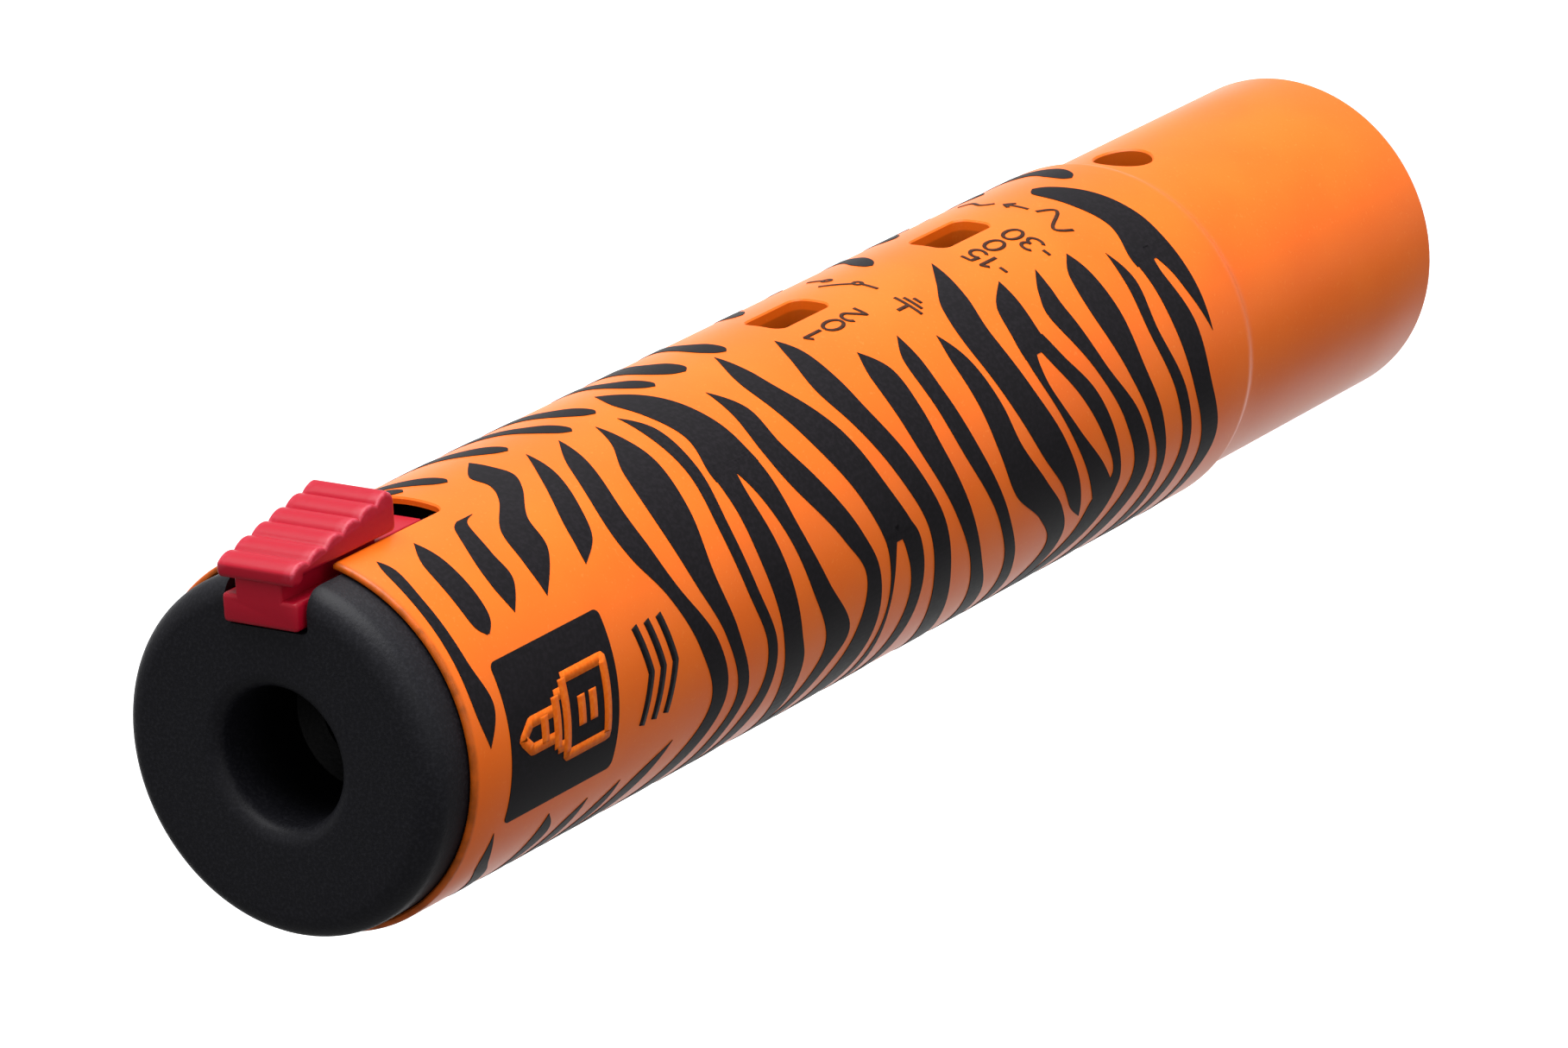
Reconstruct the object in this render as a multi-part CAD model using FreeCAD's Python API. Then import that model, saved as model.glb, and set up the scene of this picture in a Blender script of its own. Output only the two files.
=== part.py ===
"""In-line direct box: a round painted tube with a locking 6.35 mm jack socket at one end
and a three-pin male audio connector at the other.

Frame: millimetres. The origin is on the tube's axis, in the plane of the tube's rim at the
jack end. +X runs along the axis to the pin end, +Z points up through the release slider
and the two switch windows, and -Y is the side that carries the printed lettering.
"""
import FreeCAD, Part
import math
import os

Vec = FreeCAD.Vector
X_AXIS = Vec(1, 0, 0)
Y_AXIS = Vec(0, 1, 0)
Z_AXIS = Vec(0, 0, 1)

# ---- Driving dimensions ---------------------------------------------------------------
# Tube
tube_radius = 12.0            # outside, full-diameter length
barrel_length = 89.8          # full-diameter length, from the jack-end rim
shoulder_length = 2.0         # soft step from the barrel to the tail
tail_length = 24.3            # narrow end, from the shoulder to the pin-end rim
tail_drop = 0.6               # how much smaller the tail is, on the radius
tube_wall = 1.6
mouth_wall = 0.45             # thin wall around the jack moulding
seat_depth = 15.0             # depth of the thin-walled seat
rim_round = 0.2
end_round = 0.5
# Slot in the tube for the release slider
slot_length = 11.4
slot_width = 5.2
slot_corner = 0.7
# Switch windows
window_length = 6.2
window_width = 3.0
window_corner = 0.8
pad_window_back = 17.25       # from the end of the barrel to the pad window's centre
# Lock screw
screw_hole_radius = 2.0
screw_back = 21.7             # from the pin-end rim to the screw's axis
screw_radius = 1.5
# Jack moulding
nose_overhang = 3.5           # how far the moulding stands out of the tube
nose_round = 1.6
jack_depth = 30.0             # from the rim to the back of the moulding
plug_bore_radius = 3.25       # takes a 6.35 mm plug
plug_bore_end = 9.2
plug_bore_length = 3.6         # the narrow part that guides the plug
lead_in_length = 1.0
mouth_radius = 4.4
mouth_round = 1.1
chamber_radius = 3.6
cap_thickness = 3.0
# Release slider
slider_travel = 3.5
groove_width = 6.1
groove_depth = 3.7            # below the outside of the tube
foot_width = 5.5
foot_end = 10.3
slider_front = 0.2            # foot and web behind the front of the pad
web_width = 3.4
tongue_drop = 0.75            # top of the web behind the pad, below the outside of the tube
pad_width = 5.7
pad_front = 4.3               # ahead of the rim
pad_length = 10.5
pad_front_height = 0.55       # crest height above the tube, at the front
pad_rear_height = 2.7
crest_count = 6
crest_depth = 0.4
pad_round = 0.45
lip_length = 0.7              # thicker bead along the pad's front edge, ahead of the tube
lip_drop = 0.5                # bead's underside below the pad's
# Latch
latch_width = 2.0
latch_pin_radius = 0.6
latch_reach = 6.5             # each arm, along X
claw_depth = 0.8              # how far the claw stands into the plug bore
latch_turn = 9.5              # degrees, over the slider's travel
# Slider spring
spring_radius = 0.8
spring_wire = 0.25
spring_turns = 8
# Contacts
contact_width = 2.2
contact_thickness = 0.3
contact_radius = 5.4          # distance of the contact strips from the axis
# Circuit board
board_edge_gap = 1.2          # from the board's upper edge to the bore
board_thickness = 1.6
board_bottom = 1.2            # above the axis
# Switches
case_length = 11.4
case_width = 6.4
case_height = 4.6
knob_length = 2.0
knob_width = 1.8
knob_travel = 2.0
knob_recess = 1.4             # knob top below the outside of the tube
lead_radius = 0.35            # insulated leads
capacitor_length = 5.0
capacitor_width = 3.6
capacitor_height = 4.0
resistor_radius = 0.9
resistor_length = 4.5
resistor_count = 4            # along each edge of the board
# Transformer
transformer_gap = 1.6         # from the can to the bore
transformer_length = 19.0
solder_length = 1.0           # pins standing out under the board
# Pin connector
cavity_radius = 8.2
cavity_depth = 15.2
insert_length = 10.0
pin_radius = 1.2
shank_radius = 1.35           # the pin's thicker part, inside the insert
pin_length = 12.8             # out of the insert
pin_circle = 8.0              # diameter
pin_count = 3
latch_groove_back = 9.6       # from the rim to the middle of the latch groove
latch_groove_width = 2.0
latch_groove_depth = 0.6
key_width = 1.8
key_height = 0.8
# Clearances
slip = 0.05                   # between pieces pushed together
running = 0.04                # round a pin that turns
gap = 0.2                     # round a piece that slides

# ---- Values worked out from them ------------------------------------------------------
tube_length = barrel_length + shoulder_length + tail_length
tail_radius = tube_radius - tail_drop
bore_radius = tube_radius - tube_wall
seat_radius = tube_radius - mouth_wall
nose_radius = seat_radius - slip
jack_body_radius = bore_radius - slip
groove_floor = tube_radius - groove_depth
foot_bottom = groove_floor + 0.25
foot_top = tube_radius - 1.6
pad_bottom = tube_radius - 0.1
insert_end = tube_length - cavity_depth
insert_start = insert_end - insert_length
cap_start = jack_depth
cap_end = cap_start + cap_thickness
pad_x = barrel_length - pad_window_back
ground_x = (cap_end + pad_x) / 2 + 0.2
screw_x = tube_length - screw_back
board_top = board_bottom + board_thickness
board_width = 2 * (math.sqrt(bore_radius**2 - board_top**2) - board_edge_gap)
transformer_radius = (bore_radius - transformer_gap + board_bottom - solder_length - gap) / 2
board_start = cap_end + 1.0
board_end = insert_start - 5.0
case_top = board_top + case_height
knob_top = tube_radius - knob_recess
latch_tail_x = foot_end + 0.3
latch_pin_x = latch_tail_x + latch_reach
claw_x = latch_pin_x + latch_reach
latch_pin_z = groove_floor - 2.0
claw_z = plug_bore_radius - claw_depth
spring_z = foot_bottom + spring_radius + 0.1
spring_end = foot_end + 9.0


# ---- Helpers --------------------------------------------------------------------------
def rod(radius, start, end, y=0.0, z=0.0):
    """Cylinder along X."""
    return Part.makeCylinder(radius, end - start, Vec(start, y, z), X_AXIS)


def upright(radius, bottom, top, x, y=0.0):
    """Cylinder along Z."""
    return Part.makeCylinder(radius, top - bottom, Vec(x, y, bottom), Z_AXIS)


def box(x0, x1, y0, y1, z0, z1):
    return Part.makeBox(x1 - x0, y1 - y0, z1 - z0, Vec(x0, y0, z0))


def centred(x0, x1, width, z0, z1):
    """Box centred on the XZ plane."""
    return box(x0, x1, -width / 2, width / 2, z0, z1)


def plate(points, width):
    """Flat outline of (x, z) points, made `width` thick and centred on the XZ plane."""
    loop = [Vec(x, -width / 2, z) for x, z in points]
    face = Part.Face(Part.makePolygon(loop + loop[:1]))
    return face.extrude(Vec(0, width, 0))


def edges_along(shape, axis, test):
    """Straight edges parallel to an axis whose centre passes the test."""
    found = []
    for edge in shape.Edges:
        if isinstance(edge.Curve, Part.Line) and edge.Curve.Direction.cross(axis).Length < 1e-6:
            if test(edge.CenterOfMass):
                found.append(edge)
    return found


def everywhere(point):
    return True


def revolved(points):
    """Solid turned about the X axis from (x, radius) points, in order."""
    loop = [Vec(x, 0, radius) for x, radius in points]
    face = Part.Face(Part.makePolygon(loop + loop[:1]))
    return face.revolve(Vec(0, 0, 0), X_AXIS, 360)


def strip(points, width, thickness):
    """Bent sheet-metal strip whose middle line is the (x, z) points."""
    upper = []
    lower = []
    for i, (x, z) in enumerate(points):
        before = points[max(i - 1, 0)]
        after = points[min(i + 1, len(points) - 1)]
        dx = after[0] - before[0]
        dz = after[1] - before[1]
        length = math.hypot(dx, dz)
        shift_x = -dz / length * thickness / 2
        shift_z = dx / length * thickness / 2
        upper.append((x + shift_x, z + shift_z))
        lower.append((x - shift_x, z - shift_z))
    return plate(upper + lower[::-1], width)


def wire(points, radius):
    """Round wire along straight runs, with a ball at each bend."""
    runs = []
    for a, b in zip(points, points[1:]):
        run = Vec(*b) - Vec(*a)
        runs.append(Part.makeCylinder(radius, run.Length, Vec(*a), run))
    for bend in points[1:-1]:
        runs.append(Part.makeSphere(radius, Vec(*bend)))
    return runs[0].multiFuse(runs[1:]).removeSplitter()


def turned(shape, degrees):
    """Copy of a shape turned about the X axis."""
    copy = shape.copy()
    copy.rotate(Vec(0, 0, 0), X_AXIS, degrees)
    return copy


def pin_places():
    """(y, z) of each connector pin, the first one straight up."""
    places = []
    for i in range(pin_count):
        angle = math.radians(90 + 360 * i / pin_count)
        places.append((pin_circle / 2 * math.cos(angle), pin_circle / 2 * math.sin(angle)))
    return places


def window(centre):
    """Cutter for one switch window, with rounded corners."""
    cutter = centred(
        centre - window_length / 2, centre + window_length / 2, window_width, case_top, tube_radius + 1
    )
    return cutter.makeFillet(window_corner, edges_along(cutter, Z_AXIS, everywhere))


# ---- Housing --------------------------------------------------------------------------
def housing_tube():
    """Tube with a seat for the jack moulding, a soft shoulder and a narrow connector end."""
    shoulder_end = barrel_length + shoulder_length
    middle = Vec((barrel_length + shoulder_end) / 2, 0, (tube_radius + tail_radius) / 2)
    half_step = shoulder_length / 2
    bend = (half_step**2 + (tail_drop / 2) ** 2) / tail_drop
    quarter = math.atan2(half_step, bend - tail_drop / 2) / 2
    dip = bend * (1 - math.cos(quarter))
    across = bend * math.sin(quarter)
    outline = [
        Part.makeLine(Vec(0, 0, 0), Vec(0, 0, tube_radius)),
        Part.makeLine(Vec(0, 0, tube_radius), Vec(barrel_length, 0, tube_radius)),
        Part.Arc(
            Vec(barrel_length, 0, tube_radius),
            Vec(barrel_length + across, 0, tube_radius - dip),
            middle,
        ).toShape(),
        Part.Arc(
            middle,
            Vec(shoulder_end - across, 0, tail_radius + dip),
            Vec(shoulder_end, 0, tail_radius),
        ).toShape(),
        Part.makeLine(Vec(shoulder_end, 0, tail_radius), Vec(tube_length, 0, tail_radius)),
        Part.makeLine(Vec(tube_length, 0, tail_radius), Vec(tube_length, 0, 0)),
        Part.makeLine(Vec(tube_length, 0, 0), Vec(0, 0, 0)),
    ]
    tube = Part.Face(Part.Wire(outline)).revolve(Vec(0, 0, 0), X_AXIS, 360)

    def outer_rims(x, radius):
        return [
            e for e in tube.Edges
            if isinstance(e.Curve, Part.Circle)
            and abs(e.Curve.Center.x - x) < 1e-6
            and abs(e.Curve.Radius - radius) < 1e-6
        ]

    tube = tube.makeFillet(rim_round, outer_rims(0, tube_radius))
    tube = tube.makeFillet(end_round, outer_rims(tube_length, tail_radius))
    tube = tube.cut(rod(seat_radius, -1, seat_depth))
    tube = tube.cut(rod(bore_radius, seat_depth - 1, insert_start))
    tube = tube.cut(rod(cavity_radius, insert_start - 1, tube_length + 1))
    slot = centred(-1, slot_length, slot_width, 0, tube_radius + 1)
    slot = slot.makeFillet(slot_corner, edges_along(slot, Z_AXIS, lambda p: p.x > 0))
    tube = tube.cut(slot.common(box(-1, seat_depth, -slot_width, slot_width, groove_floor, tube_radius + 1)))
    tube = tube.cut(window(ground_x))
    tube = tube.cut(window(pad_x))
    tube = tube.cut(upright(screw_hole_radius, 0, tube_radius + 1, screw_x))
    groove_x = tube_length - latch_groove_back
    groove_bottom = cavity_radius + latch_groove_depth
    tube = tube.cut(rod(groove_bottom, groove_x - latch_groove_width / 2, groove_x + latch_groove_width / 2))
    key_x = insert_end + 1.0
    key = centred(key_x, tube_length - 1.5, key_width, -cavity_radius - 0.5, key_height - cavity_radius)
    return tube.fuse(key).removeSplitter()


# ---- Jack -----------------------------------------------------------------------------
def latch_pocket():
    """Room for the latch between the slider's groove and the plug bore."""
    room = latch_width + 2 * gap
    front = centred(foot_end - 4.4, latch_tail_x, room, groove_floor - 1.4, groove_floor + 1)
    tail = centred(plug_bore_end + 0.4, latch_pin_x, room, latch_pin_z - 1.2, groove_floor + 1)
    claw = centred(latch_pin_x - 1.2, claw_x + 2.4, room, 0, latch_pin_z + 1.3)
    return front.fuse([tail, claw])


def jack_nose():
    """Black moulding: the rounded nose outside the tube and the body that fills its end."""
    nose = rod(nose_radius, -nose_overhang, seat_depth)
    rim = [e for e in nose.Edges if abs(e.CenterOfMass.x + nose_overhang) < 1e-6]
    nose = nose.makeFillet(nose_round, rim)
    body = nose.fuse(rod(jack_body_radius, seat_depth, jack_depth)).removeSplitter()
    bore_start = plug_bore_end - plug_bore_length
    mouth_end = bore_start - lead_in_length
    mouth = rod(mouth_radius, -nose_overhang - 1, mouth_end)
    lead_in = Part.makeCone(mouth_radius, plug_bore_radius, lead_in_length, Vec(mouth_end, 0, 0), X_AXIS)
    funnel = revolved(
        [(-nose_overhang - 1, 0), (-nose_overhang - 1, mouth_radius + mouth_round + 1)]
        + [
            (
                -nose_overhang + mouth_round * (1 - math.cos(math.radians(a))),
                mouth_radius + mouth_round * (1 - math.sin(math.radians(a))),
            )
            for a in range(0, 91, 15)
        ]
        + [(-nose_overhang + mouth_round, 0)]
    )
    body = body.cut(mouth).cut(lead_in).cut(funnel)
    body = body.cut(rod(plug_bore_radius, bore_start, plug_bore_end))
    body = body.cut(rod(chamber_radius, plug_bore_end, jack_depth + 1))
    groove = centred(-nose_overhang - 1, foot_end + slider_travel + 0.4, groove_width, groove_floor, tube_radius)
    lower = edges_along(groove, X_AXIS, lambda p: p.z < groove_floor + 0.1)
    body = body.cut(groove.makeFillet(0.4, lower))
    channel = rod(spring_radius + gap, foot_end, spring_end, 0, spring_z)
    body = body.cut(channel)
    body = body.cut(centred(foot_end, spring_end, 2 * spring_radius + 0.4, spring_z, tube_radius))
    body = body.cut(latch_pocket())
    body = body.cut(latch_axle(latch_pin_radius + 0.01, 1.0))
    for degrees in contact_angles:
        room = box(
            plug_bore_end + 2, jack_depth + 1,
            -contact_width / 2 - 0.2, contact_width / 2 + 0.2,
            0, contact_radius + contact_thickness / 2 + 0.9,
        )
        body = body.cut(turned(room, degrees))
    return body


# Where each contact sits round the bore, from straight up: sleeve, ring and tip.
contact_angles = (90, -90, 180)


def jack_cap():
    """Disc that closes the back of the moulding and holds the contact strips."""
    cap = rod(jack_body_radius, cap_start, cap_end)
    for degrees in contact_angles:
        slit = centred(
            cap_start - 1, cap_end + 1, contact_width,
            contact_radius - contact_thickness / 2, contact_radius + contact_thickness / 2,
        )
        cap = cap.cut(turned(slit, degrees))
    return cap


def contact(bump_x):
    """Spring strip that touches the plug at bump_x, before it is turned into its place."""
    touch = plug_bore_radius - 0.1
    line = [
        (bump_x - 1.5, touch + 1.1),
        (bump_x, touch + contact_thickness / 2),
        (bump_x + 1.3, touch + 0.9),
        (bump_x + 3.2, contact_radius),
        (cap_end + 2.5, contact_radius),
    ]
    return strip(line, contact_width, contact_thickness)


def sleeve_contact():
    return turned(contact(plug_bore_end + 4.0), contact_angles[0])


def ring_contact():
    return turned(contact(cap_start - 11.4), contact_angles[1])


def tip_contact():
    return turned(contact(cap_start - 5.9), contact_angles[2])


# ---- Release slider and latch -----------------------------------------------------------
def release_slider():
    """Ribbed thumb pad on a web, with a foot that runs in the moulding's groove."""
    front = -pad_front
    rear = pad_length - pad_front
    pitch = pad_length / crest_count
    outline = [Part.makeLine(Vec(rear, 0, pad_bottom), Vec(front, 0, pad_bottom))]

    def valley(i):
        rise = pad_front_height + (pad_rear_height - pad_front_height) * i / crest_count
        return Vec(front + pitch * i, 0, tube_radius + rise - crest_depth)

    outline.append(Part.makeLine(Vec(front, 0, pad_bottom), valley(0)))
    for i in range(crest_count):
        start = valley(i)
        end = valley(i + 1)
        top = (start + end) * 0.5 + Vec(0, 0, crest_depth)
        outline.append(Part.Arc(start, top, end).toShape())
    outline.append(Part.makeLine(valley(crest_count), Vec(rear, 0, pad_bottom)))
    face = Part.Face(Part.Wire(outline))
    face.translate(Vec(0, -pad_width / 2, 0))
    pad = face.extrude(Vec(0, pad_width, 0))
    upright_rear = edges_along(pad, Z_AXIS, lambda p: p.x > rear - 0.1)
    pad = pad.makeFillet(pad_round, upright_rear)
    lip = centred(front, front + lip_length, pad_width, pad_bottom - lip_drop, pad_bottom + 0.2)
    lip = lip.makeFillet(0.3, edges_along(lip, Y_AXIS, lambda p: p.z < pad_bottom))
    face_x = front + slider_front
    web = centred(face_x, rear - 0.6, web_width, foot_top - 0.2, pad_bottom + 0.2)
    tongue = centred(rear - 1.0, foot_end, web_width, foot_top - 0.2, tube_radius - tongue_drop)
    foot = centred(face_x, foot_end, foot_width, foot_bottom, foot_top)
    foot = foot.makeFillet(0.3, edges_along(foot, X_AXIS, everywhere))
    ramp_drop = latch_reach * math.sin(math.radians(latch_turn))
    ramp = plate(
        [
            (foot_end, foot_bottom + 0.1),
            (foot_end, foot_bottom),
            (foot_end - slider_travel - 0.3, foot_bottom - ramp_drop + 0.1),
            (foot_end - slider_travel - 0.6, foot_bottom - ramp_drop + 0.1),
            (foot_end - slider_travel - 0.6, foot_bottom + 0.1),
        ],
        latch_width - 0.4,
    )
    return pad.fuse([lip, web, tongue, foot, ramp]).removeSplitter()


def slider_spring():
    """Small compression spring of square wire behind the slider's foot."""
    start = foot_end + slip
    length = spring_end - start - slip
    coil_length = length - spring_wire
    middle = spring_radius - spring_wire / 2
    half = spring_wire / 2
    corners = [(-half, -half), (half, -half), (half, half), (-half, half), (-half, -half)]
    profile = Part.makePolygon([Vec(middle + x, 0, z) for x, z in corners])
    helix = Part.makeHelix(coil_length / spring_turns, coil_length, middle)
    coil = Part.Wire(helix).makePipeShell([profile], True, True)
    coil.rotate(Vec(0, 0, 0), Y_AXIS, 90)
    coil.translate(Vec(start + spring_wire / 2, 0, spring_z))
    return coil


def latch_pawl():
    """Rocking pawl: the slider's ramp presses its tail down and lifts its claw off the plug."""
    tail_top = foot_bottom - 0.12
    arm = 0.75
    outline = [
        (latch_tail_x - 0.6, tail_top),
        (latch_tail_x + 0.7, tail_top),
        (latch_pin_x - 0.8, latch_pin_z + arm),
        (latch_pin_x + 0.8, latch_pin_z + arm),
        (claw_x + 0.9, claw_z + 1.9),
        (claw_x + 0.9, claw_z + 0.9),
        (claw_x + 0.3, claw_z),
        (claw_x - 0.4, claw_z),
        (claw_x - 1.1, claw_z + 1.2),
        (latch_pin_x + 0.6, latch_pin_z - arm - 0.2),
        (latch_pin_x - 0.9, latch_pin_z - arm),
        (latch_tail_x - 0.6, tail_top - 0.9),
    ]
    pawl = plate(outline, latch_width)
    boss = Part.makeCylinder(
        latch_pin_radius + 0.5, latch_width, Vec(latch_pin_x, -latch_width / 2, latch_pin_z), Y_AXIS
    )
    return pawl.fuse(boss).cut(latch_axle(latch_pin_radius + running, 1.0)).removeSplitter()


def latch_axle(radius, extra):
    """Cylinder along the latch's pivot."""
    half = latch_width / 2 + 2.0 + extra
    return Part.makeCylinder(radius, 2 * half, Vec(latch_pin_x, -half, latch_pin_z), Y_AXIS)


def latch_pin():
    return latch_axle(latch_pin_radius, 0.9)


# ---- Electronics ------------------------------------------------------------------------
def circuit_board():
    board = centred(board_start, board_end, board_width, board_bottom, board_top)
    board = board.makeFillet(1.0, edges_along(board, Z_AXIS, everywhere))
    return board.cut(switch_pins())


def switch_case(centre):
    """Sheet-metal slide switch body with a slot in its top for the knob."""
    case = centred(centre - case_length / 2, centre + case_length / 2, case_width, board_top, case_top)
    case = case.makeFillet(0.3, edges_along(case, Z_AXIS, everywhere))
    half = knob_length / 2 + knob_travel + 0.15
    slot_half = min(half, case_length / 2 - 0.8)
    return case.cut(centred(centre - slot_half, centre + slot_half, knob_width + 0.3, board_top + 1.0, case_top + 1))


def switch_knob(centre):
    """Knob that slides between three places; its foot stays inside the switch body."""
    stem = centred(
        centre - knob_length / 2, centre + knob_length / 2, knob_width, board_top + 1.2, knob_top
    )
    top = [e for e in stem.Edges if abs(e.CenterOfMass.z - knob_top) < 1e-6]
    return stem.makeFillet(0.25, top)


def switch_pins():
    """Solder pins of both switches, through the board."""
    pins = []
    for centre in (ground_x, pad_x):
        for along in (-3.6, 0.0, 3.6):
            for across in (-2.2, 2.2):
                x = centre + along
                pins.append(
                    box(x - 0.3, x + 0.3, across - 0.2, across + 0.2, board_bottom - solder_length, board_top)
                )
    return Part.makeCompound(pins)


def transformer():
    """Audio transformer in a round screening can, on four legs under the board."""
    z = board_bottom - solder_length - gap - transformer_radius
    middle = (board_start + board_end) / 2
    can = rod(transformer_radius, middle - transformer_length / 2, middle + transformer_length / 2, 0, z)
    can = can.makeFillet(0.6, [e for e in can.Edges if isinstance(e.Curve, Part.Circle)])
    legs = []
    for along in (-1, 1):
        for across in (-1, 1):
            x = middle + along * (transformer_length / 2 - 1.5)
            legs.append(upright(0.35, z, board_bottom, x, across * transformer_radius / 3))
    return can.fuse(legs).removeSplitter()


def capacitors():
    """Two film capacitors: one next to the jack, one behind the pad switch."""
    made = []
    for start in (board_start + 0.4, pad_x + case_length / 2 + 1.0):
        body = centred(
            start, start + capacitor_length, capacitor_width, board_top, board_top + capacitor_height
        )
        made.append(body.makeFillet(0.5, edges_along(body, Z_AXIS, everywhere)))
    return Part.makeCompound(made)


def resistors():
    """Row of axial resistors along each edge of the board."""
    made = []
    first = board_start + 8.0
    pitch = (board_end - first - resistor_length - 4.0) / (resistor_count - 1)
    from_middle = board_width / 2 - 2.6
    for i in range(resistor_count):
        x = first + pitch * i
        for side in (-1, 1):
            made.append(
                rod(resistor_radius, x, x + resistor_length, side * from_middle, board_top + resistor_radius)
            )
    return Part.makeCompound(made)


# ---- Connector ----------------------------------------------------------------------------
def pin_insert():
    """Black disc that carries the three pins and takes the lock screw."""
    disc = rod(cavity_radius - slip, insert_start, insert_end)
    for y, z in pin_places():
        disc = disc.cut(rod(shank_radius, insert_start - 1, insert_end + 1, y, z))
    return disc.cut(upright(screw_radius, cavity_radius - 2.4, cavity_radius + 1, screw_x))


def connector_pin(y, z):
    """Round-ended contact pin with a solder cup at the back."""
    tip = insert_end + pin_length
    pin = rod(pin_radius, insert_end, tip, y, z)
    end = [e for e in pin.Edges if abs(e.CenterOfMass.x - tip) < 1e-6]
    pin = pin.makeFillet(pin_radius * 0.75, end)
    pin = pin.fuse(rod(shank_radius, insert_start - 4.0, insert_end, y, z))
    return pin.cut(rod(shank_radius * 0.7, insert_start - 5.0, insert_start - 1.5, y, z))


def lock_screw():
    """Set screw that pushes out against the tube and holds the insert."""
    screw = upright(screw_radius, cavity_radius - 2.4, tail_radius - 2.0, screw_x)
    socket = [
        Vec(screw_x + 0.9 * math.cos(math.radians(60 * i)), 0.9 * math.sin(math.radians(60 * i)), tail_radius - 3.2)
        for i in range(6)
    ]
    hexagon = Part.Face(Part.makePolygon(socket + socket[:1])).extrude(Vec(0, 0, 2))
    return screw.cut(hexagon)


def jack_wires():
    """Leads from the three jack contacts to the board."""
    start = cap_end + 1.6
    inside = contact_radius - contact_thickness / 2 - lead_radius
    under = board_bottom - lead_radius
    leads = []
    for sign in (-1, 1):
        route = [(start, sign * inside, 0), (start + 3.5, sign * inside, -0.4), (start + 6.0, sign * inside, under)]
        leads.append(wire(route, lead_radius))
    route = [(start, 0, -inside), (start + 3.0, 0, 1.2 - inside), (start + 5.0, 0, under)]
    leads.append(wire(route, lead_radius))
    return Part.makeCompound(leads)


def pin_wires():
    """Leads from the pins' solder cups to the board."""
    leads = []
    for y, z in pin_places():
        lift = board_top + lead_radius if z > 0 else board_bottom - lead_radius
        route = [(insert_start - 2.0, y, z), (insert_start - 5.2, y, z), (board_end - 0.7, y, lift)]
        leads.append(wire(route, lead_radius))
    return Part.makeCompound(leads)


# ---- Build --------------------------------------------------------------------------------
pieces = {
    "housing_tube": housing_tube(),
    "jack_nose": jack_nose(),
    "jack_cap": jack_cap(),
    "sleeve_contact": sleeve_contact(),
    "ring_contact": ring_contact(),
    "tip_contact": tip_contact(),
    "release_slider": release_slider(),
    "slider_spring": slider_spring(),
    "latch_pawl": latch_pawl(),
    "latch_pin": latch_pin(),
    "circuit_board": circuit_board(),
    "ground_switch_case": switch_case(ground_x),
    "ground_switch_knob": switch_knob(ground_x),
    "pad_switch_case": switch_case(pad_x),
    "pad_switch_knob": switch_knob(pad_x),
    "switch_pins": switch_pins(),
    "transformer": transformer(),
    "capacitors": capacitors(),
    "resistors": resistors(),
    "jack_wires": jack_wires(),
    "pin_wires": pin_wires(),
    "pin_insert": pin_insert(),
    "lock_screw": lock_screw(),
}
for number, (y, z) in enumerate(pin_places(), start=1):
    pieces[f"connector_pin_{number}"] = connector_pin(y, z)

os.makedirs("parts", exist_ok=True)
for name, shape in pieces.items():
    shape.exportStep(f"parts/{name}.step")
    print(f"{name}: {len(shape.Solids)} solids, {shape.Volume:.1f} mm3, valid {shape.isValid()}")
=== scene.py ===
# %% [markdown]
# # A direct box in a striped tube
# A direct box turns the signal of a jack lead into one that a microphone lead can carry.
# This one is a single painted tube: a locking jack socket with a red release slider at one
# end, a round connector with three pins at the other, and two small slide switches sunk in
# windows on top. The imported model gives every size. This file gives the tube its finish.

# %% Load the frame
import math
import random

import bmesh
import bpy
from mathutils import Euler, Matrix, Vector


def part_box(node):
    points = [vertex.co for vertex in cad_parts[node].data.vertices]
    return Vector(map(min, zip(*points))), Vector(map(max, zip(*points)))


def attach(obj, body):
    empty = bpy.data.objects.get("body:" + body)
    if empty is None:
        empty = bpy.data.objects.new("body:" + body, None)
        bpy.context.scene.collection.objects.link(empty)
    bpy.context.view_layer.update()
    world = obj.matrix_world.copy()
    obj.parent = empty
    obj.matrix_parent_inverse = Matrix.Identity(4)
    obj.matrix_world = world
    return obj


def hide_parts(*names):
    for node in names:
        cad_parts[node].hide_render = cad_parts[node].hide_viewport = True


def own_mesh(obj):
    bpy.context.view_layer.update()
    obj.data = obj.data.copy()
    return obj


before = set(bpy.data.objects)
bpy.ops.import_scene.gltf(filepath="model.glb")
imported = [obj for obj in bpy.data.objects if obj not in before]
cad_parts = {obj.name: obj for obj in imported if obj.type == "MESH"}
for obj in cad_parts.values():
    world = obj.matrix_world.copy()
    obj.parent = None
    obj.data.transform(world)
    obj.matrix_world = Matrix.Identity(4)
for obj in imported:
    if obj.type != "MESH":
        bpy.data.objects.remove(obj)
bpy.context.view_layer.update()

MM = 0.001
tube_low, tube_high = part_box("housing_tube")
nose_low, nose_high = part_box("jack_nose")
pad_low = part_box("release_slider")[0]
RADIUS = tube_high.y
TUBE_END = tube_high.x


def add_object(name, data):
    """New object in the scene, at the origin."""
    made = bpy.data.objects.new(name, data)
    bpy.context.scene.collection.objects.link(made)
    return made


print(f"tube radius {RADIUS / MM:.2f}, length {TUBE_END / MM:.1f}, nose from {nose_low.x / MM:.2f} mm")

# %% [markdown]
# ## Camera
# A long lens far away keeps the tube's two ends nearly the same size. The camera is placed
# by its bearing and height round the point that it looks at, so each number means something
# on its own: turn it, lift it, tilt it.

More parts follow.
